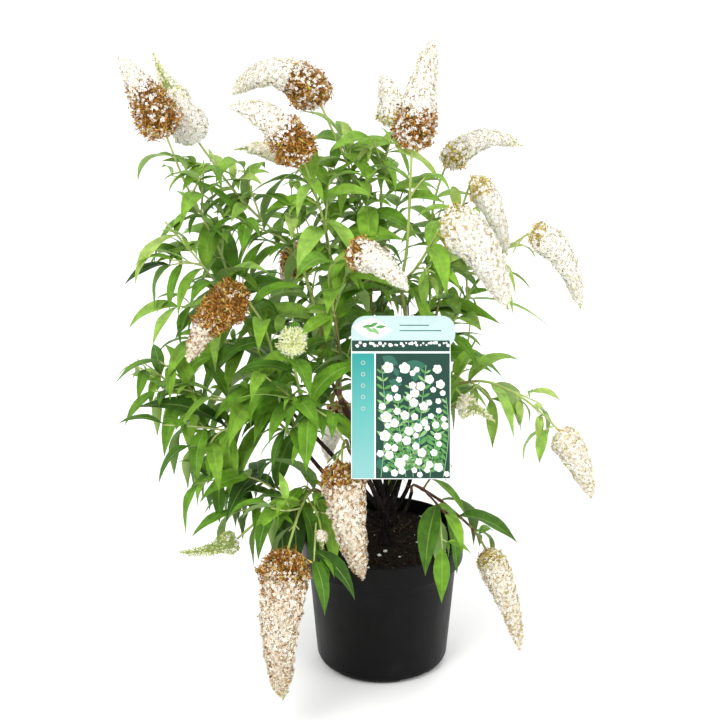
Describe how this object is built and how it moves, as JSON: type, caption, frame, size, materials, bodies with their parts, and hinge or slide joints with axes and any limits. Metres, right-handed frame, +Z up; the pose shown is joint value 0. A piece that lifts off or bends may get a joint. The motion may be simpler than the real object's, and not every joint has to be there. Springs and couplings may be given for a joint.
{
  "type": "potted butterfly bush",
  "caption": "Potted butterfly bush with upright and arching stems, paired narrow leaves, drooping white flower spikes, a black nursery pot and a hanging plant label.",
  "frame": {"origin": "centre of the pot's flat underside", "axes": "+Z up along the pot's axis, -Y towards the front with the label, +X to the right as seen from the front"},
  "size_m": [0.7312, 0.6185, 1.027],
  "materials": {
    "pot": "satin",
    "soil": "matt moist peat",
    "bark": "matt",
    "foliage": "satin",
    "blossom": "matt",
    "label": "semi-gloss"
  },
  "bodies": {
    "root": {"pot": "pot", "soil": "soil", "trunk": "bark", "bough_left_low": "bark", "bough_left_high": "bark", "bough_mid_left": "bark", "bough_middle": "bark", "bough_mid_back": "bark", "bough_mid_right": "bark", "bough_right_back": "bark", "bough_right_low": "bark", "bough_right_foot": "bark", "bough_left_foot": "bark", "bough_front_foot": "bark", "bough_back_left": "bark", "bough_back_right": "bark", "foliage_upper_left": "foliage", "foliage_upper_middle": "foliage", "foliage_top_centre": "foliage", "foliage_top_back": "foliage", "foliage_top_right_back": "foliage", "foliage_top_right": "foliage", "foliage_front_middle": "foliage", "foliage_right_shoulder": "foliage", "foliage_right_high": "foliage", "foliage_right_arch": "foliage", "foliage_right_far": "foliage", "foliage_left_middle": "foliage", "foliage_left_low": "foliage", "foliage_front_left": "foliage", "foliage_right_spray": "foliage", "foliage_right_inner": "foliage", "foliage_right_foot": "foliage", "foliage_left_foot": "foliage", "foliage_front_left_foot": "foliage", "foliage_front_foot": "foliage", "foliage_back_left": "foliage", "foliage_back_middle": "foliage", "foliage_back_right": "foliage", "foliage_back_low": "foliage", "label": "label"}
  },
  "joints": []
}
